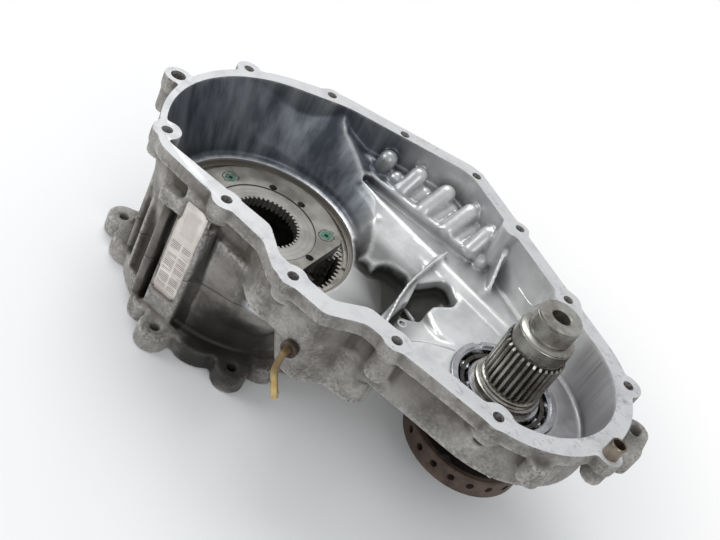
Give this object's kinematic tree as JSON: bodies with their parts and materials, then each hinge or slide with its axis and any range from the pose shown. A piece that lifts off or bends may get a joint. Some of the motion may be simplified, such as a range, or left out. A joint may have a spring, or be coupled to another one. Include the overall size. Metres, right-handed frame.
{
  "type": "transfer case front housing",
  "caption": "Front half of an aluminium transfer case with planetary set, bearings and splined output shaft.",
  "frame": {"origin": "on the input axis, at the adapter face that bolts to the gearbox", "axes": "+Z along the input axis from the adapter face to the open mating face, +X from the input axis towards the front output shaft, +Y to the wide side of the rim"},
  "size_m": [0.457, 0.2813, 0.1798],
  "materials": {
    "case_aluminium": "rough",
    "gear_steel": "satin",
    "shaft_steel": "satin",
    "bearing_steel": "polished",
    "flange_iron": "rough",
    "seal_rubber": "matte",
    "vent_brass": "satin",
    "label_paper": "matte",
    "magnet_ceramic": "matte"
  },
  "bodies": {
    "case": {"front_case": "case_aluminium", "annulus_gear": "gear_steel", "annulus_snap_ring": "gear_steel", "input_bearing_outer": "bearing_steel", "input_retainer": "gear_steel", "retainer_screws": "gear_steel", "input_seal": "seal_rubber", "output_bearing_outer": "bearing_steel", "output_snap_ring": "bearing_steel", "output_seal": "seal_rubber", "dowel_sleeve": "shaft_steel", "vent_fitting": "vent_brass", "vent_tube": "vent_brass", "label_plate": "label_paper", "oil_magnet": "magnet_ceramic"},
    "input": {"input_gear": "gear_steel", "input_bearing_inner": "bearing_steel"},
    "carrier": {"planet_carrier": "gear_steel", "carrier_front_plate": "gear_steel", "planet_pins": "gear_steel", "planet_washers": "gear_steel"},
    "planet_one": {"planet_gear_a": "gear_steel"},
    "planet_two": {"planet_gear_b": "gear_steel"},
    "planet_three": {"planet_gear_c": "gear_steel"},
    "input_cage": {"input_bearing_balls": "bearing_steel", "input_bearing_cage": "bearing_steel"},
    "output": {"front_output_shaft": "shaft_steel", "output_bearing_inner": "bearing_steel", "output_flange": "flange_iron", "flange_washer": "shaft_steel", "flange_nut": "shaft_steel"},
    "output_cage": {"output_bearing_balls": "bearing_steel", "output_bearing_cage": "bearing_steel"}
  },
  "joints": [
    {"name": "input_spin", "type": "hinge", "parent": "case", "child": "input", "pos_m": [0, 0, 0.02], "axis": [0, 0, 1], "continuous": true},
    {"name": "carrier_spin", "type": "hinge", "parent": "case", "child": "carrier", "pos_m": [0, 0, 0.06], "axis": [0, 0, 1], "continuous": true},
    {"name": "planet_one_spin", "type": "hinge", "parent": "carrier", "child": "planet_one", "pos_m": [0.03929, 0.03638, 0.055], "axis": [0, 0, 1], "continuous": true},
    {"name": "planet_two_spin", "type": "hinge", "parent": "carrier", "child": "planet_two", "pos_m": [-0.05116, 0.01584, 0.055], "axis": [0, 0, 1], "continuous": true},
    {"name": "planet_three_spin", "type": "hinge", "parent": "carrier", "child": "planet_three", "pos_m": [0.01186, -0.05222, 0.055], "axis": [0, 0, 1], "continuous": true},
    {"name": "input_cage_spin", "type": "hinge", "parent": "case", "child": "input_cage", "pos_m": [0, 0, 0.0215], "axis": [0, 0, 1], "continuous": true},
    {"name": "output_spin", "type": "hinge", "parent": "case", "child": "output", "pos_m": [0.229, 0, 0.09], "axis": [0, 0, 1], "continuous": true},
    {"name": "output_cage_spin", "type": "hinge", "parent": "case", "child": "output_cage", "pos_m": [0.229, 0, 0.0892], "axis": [0, 0, 1], "continuous": true}
  ],
  "couplings": [
    {"joint": "carrier_spin", "follows": "input_spin", "ratio": 0.34921},
    {"joint": "planet_one_spin", "follows": "input_spin", "ratio": -1.5071},
    {"joint": "planet_two_spin", "follows": "input_spin", "ratio": -1.5071},
    {"joint": "planet_three_spin", "follows": "input_spin", "ratio": -1.5071},
    {"joint": "input_cage_spin", "follows": "input_spin", "ratio": 0.41},
    {"joint": "output_cage_spin", "follows": "output_spin", "ratio": 0.41}
  ]
}
